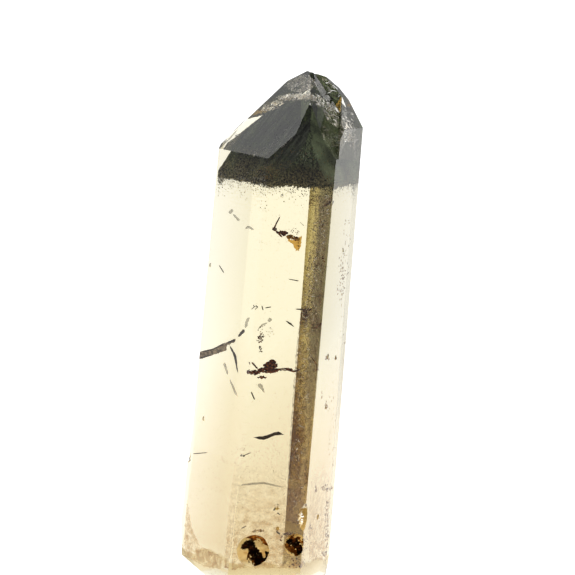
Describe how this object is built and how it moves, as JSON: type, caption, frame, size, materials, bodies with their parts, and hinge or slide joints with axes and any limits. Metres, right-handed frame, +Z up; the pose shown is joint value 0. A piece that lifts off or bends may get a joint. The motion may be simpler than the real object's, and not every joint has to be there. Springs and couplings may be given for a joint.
{
  "type": "phantom quartz",
  "caption": "Clear six-sided quartz crystal with a pointed tip and a dark green phantom sealed just under it, standing on a small level foot.",
  "frame": {"origin": "centre of the small level foot the crystal stands on", "axes": "+Z up, along which the crystal is longest; its long axis leans 5 degrees towards +X; the viewer of the picture looks along +Y"},
  "size_m": [0.0361, 0.0311, 0.103],
  "materials": {
    "smoky_clear_quartz": "clear quartz with a pale smoky tint, smooth faces, rough broken base",
    "clear_quartz": "clear quartz, smooth faces",
    "green_chlorite": "dark green, matt and granular"
  },
  "bodies": {
    "root": {"quartz_prism": "smoky_clear_quartz", "quartz_cap": "clear_quartz", "chlorite_phantom": "green_chlorite"}
  },
  "joints": []
}
